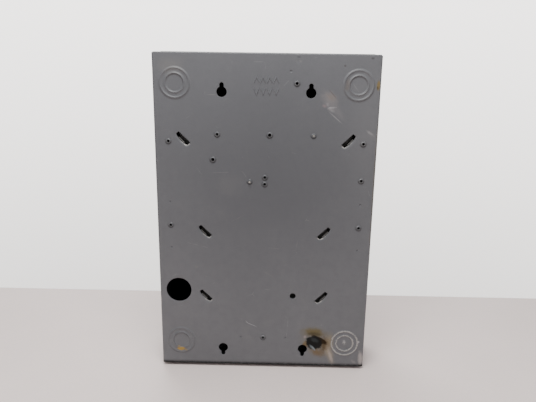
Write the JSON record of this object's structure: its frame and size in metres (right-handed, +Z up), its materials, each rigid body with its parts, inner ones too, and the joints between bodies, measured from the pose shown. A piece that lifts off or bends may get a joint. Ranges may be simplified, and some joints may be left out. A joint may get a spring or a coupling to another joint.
{
  "type": "residential load center",
  "caption": "Grey steel wall load center with hinged door, plug-on breakers, main switch, bus bars and neutral bars; back has keyholes and knockouts.",
  "frame": {"origin": "centre of the enclosure's rear mounting plane", "axes": "+X to the right seen from the front, +Y out of the back towards the wall, +Z up"},
  "size_m": [0.373, 0.1046, 0.552],
  "materials": {
    "box_paint": "grey baked enamel, satin, scuffed at the edges",
    "cover_paint": "grey baked enamel, satin",
    "zinc_plate": "zinc plated",
    "base_moulding": "black thermoset, fine texture",
    "handle_moulding": "black, smooth",
    "tinned_bar": "tin plated, dull",
    "contact_copper": "copper alloy, dull",
    "card_paper": "uncoated card"
  },
  "bodies": {
    "cabinet": {"enclosure_wrap": "box_paint", "top_end_wall": "box_paint", "bottom_end_wall": "box_paint", "interior_pan": "zinc_plate", "main_bracket": "zinc_plate", "pan_screw": "zinc_plate", "bracket_screw": "zinc_plate", "insulating_base": "base_moulding", "bus_bar_left": "tinned_bar", "bus_bar_right": "tinned_bar", "bus_bolts": "zinc_plate", "neutral_bar_left": "tinned_bar", "neutral_bar_right": "tinned_bar", "neutral_bar_screws": "zinc_plate", "neutral_strap": "tinned_bar", "bonding_screw": "zinc_plate", "neutral_lug": "tinned_bar", "neutral_lug_screw": "tinned_bar", "main_breaker_base": "base_moulding", "main_breaker_cover": "base_moulding", "main_line_terminals": "tinned_bar", "main_lug_screws": "tinned_bar", "main_load_straps": "contact_copper", "main_arc_chutes": "zinc_plate", "branch_case_1": "base_moulding", "branch_case_2": "base_moulding", "branch_case_3": "base_moulding", "branch_case_4": "base_moulding", "branch_case_5": "base_moulding", "branch_case_6": "base_moulding", "branch_case_7": "base_moulding", "branch_case_8": "base_moulding", "double_case_1": "base_moulding", "double_case_2": "base_moulding", "branch_stab_jaws": "contact_copper", "branch_terminal_screws": "zinc_plate", "filler_plates": "base_moulding", "deadfront": "cover_paint", "front_cover": "cover_paint", "cover_screws": "zinc_plate"},
    "door": {"door": "cover_paint", "door_hinge_pins": "zinc_plate", "latch_retainer": "zinc_plate", "directory_card": "card_paper"},
    "latch": {"door_latch": "handle_moulding"},
    "main_handle": {"main_breaker_handle": "handle_moulding"},
    "main_contacts": {"main_contact_arms": "contact_copper"},
    "toggle_1": {"branch_toggle_1": "handle_moulding"},
    "toggle_2": {"branch_toggle_2": "handle_moulding"},
    "toggle_3": {"branch_toggle_3": "handle_moulding"},
    "toggle_4": {"branch_toggle_4": "handle_moulding"},
    "toggle_5": {"branch_toggle_5": "handle_moulding"},
    "toggle_6": {"branch_toggle_6": "handle_moulding"},
    "toggle_7": {"branch_toggle_7": "handle_moulding"},
    "toggle_8": {"branch_toggle_8": "handle_moulding"},
    "tied_toggle_1": {"double_toggle_1": "handle_moulding"},
    "tied_toggle_2": {"double_toggle_2": "handle_moulding"}
  },
  "joints": [
    {"name": "door_hinge", "type": "hinge", "parent": "cabinet", "child": "door", "pos_m": [-0.1065, -0.0915, 0], "axis": [0, 0, -1], "range_deg": [0, 110]},
    {"name": "latch_slide", "type": "slide", "parent": "door", "child": "latch", "axis": [1, 0, 0], "range_m": [0, 0.005]},
    {"name": "main_handle_turn", "type": "hinge", "parent": "cabinet", "child": "main_handle", "pos_m": [0, -0.0715, 0.1], "axis": [1, 0, 0], "range_deg": [0, 40]},
    {"name": "main_contacts_turn", "type": "hinge", "parent": "cabinet", "child": "main_contacts", "pos_m": [0, -0.038, 0.08], "axis": [1, 0, 0], "range_deg": [0, 25.1]},
    {"name": "toggle_1_turn", "type": "hinge", "parent": "cabinet", "child": "toggle_1", "pos_m": [-0.028, -0.07, -0.139], "axis": [0, 0, -1], "range_deg": [0, 40]},
    {"name": "toggle_2_turn", "type": "hinge", "parent": "cabinet", "child": "toggle_2", "pos_m": [-0.028, -0.07, -0.1136], "axis": [0, 0, -1], "range_deg": [0, 40]},
    {"name": "toggle_3_turn", "type": "hinge", "parent": "cabinet", "child": "toggle_3", "pos_m": [-0.028, -0.07, -0.0882], "axis": [0, 0, -1], "range_deg": [0, 40]},
    {"name": "toggle_4_turn", "type": "hinge", "parent": "cabinet", "child": "toggle_4", "pos_m": [-0.028, -0.07, -0.012], "axis": [0, 0, -1], "range_deg": [0, 40]},
    {"name": "toggle_5_turn", "type": "hinge", "parent": "cabinet", "child": "toggle_5", "pos_m": [0.028, -0.07, -0.139], "axis": [0, 0, 1], "range_deg": [0, 40]},
    {"name": "toggle_6_turn", "type": "hinge", "parent": "cabinet", "child": "toggle_6", "pos_m": [0.028, -0.07, -0.0628], "axis": [0, 0, 1], "range_deg": [0, 40]},
    {"name": "toggle_7_turn", "type": "hinge", "parent": "cabinet", "child": "toggle_7", "pos_m": [0.028, -0.07, -0.0374], "axis": [0, 0, 1], "range_deg": [0, 40]},
    {"name": "toggle_8_turn", "type": "hinge", "parent": "cabinet", "child": "toggle_8", "pos_m": [0.028, -0.07, -0.012], "axis": [0, 0, 1], "range_deg": [0, 40]},
    {"name": "tied_toggle_1_turn", "type": "hinge", "parent": "cabinet", "child": "tied_toggle_1", "pos_m": [-0.028, -0.07, -0.0501], "axis": [0, 0, -1], "range_deg": [0, 40]},
    {"name": "tied_toggle_2_turn", "type": "hinge", "parent": "cabinet", "child": "tied_toggle_2", "pos_m": [0.028, -0.07, -0.1009], "axis": [0, 0, 1], "range_deg": [0, 40]}
  ],
  "couplings": [
    {"joint": "main_contacts_turn", "follows": "main_handle_turn", "ratio": 0.625}
  ]
}
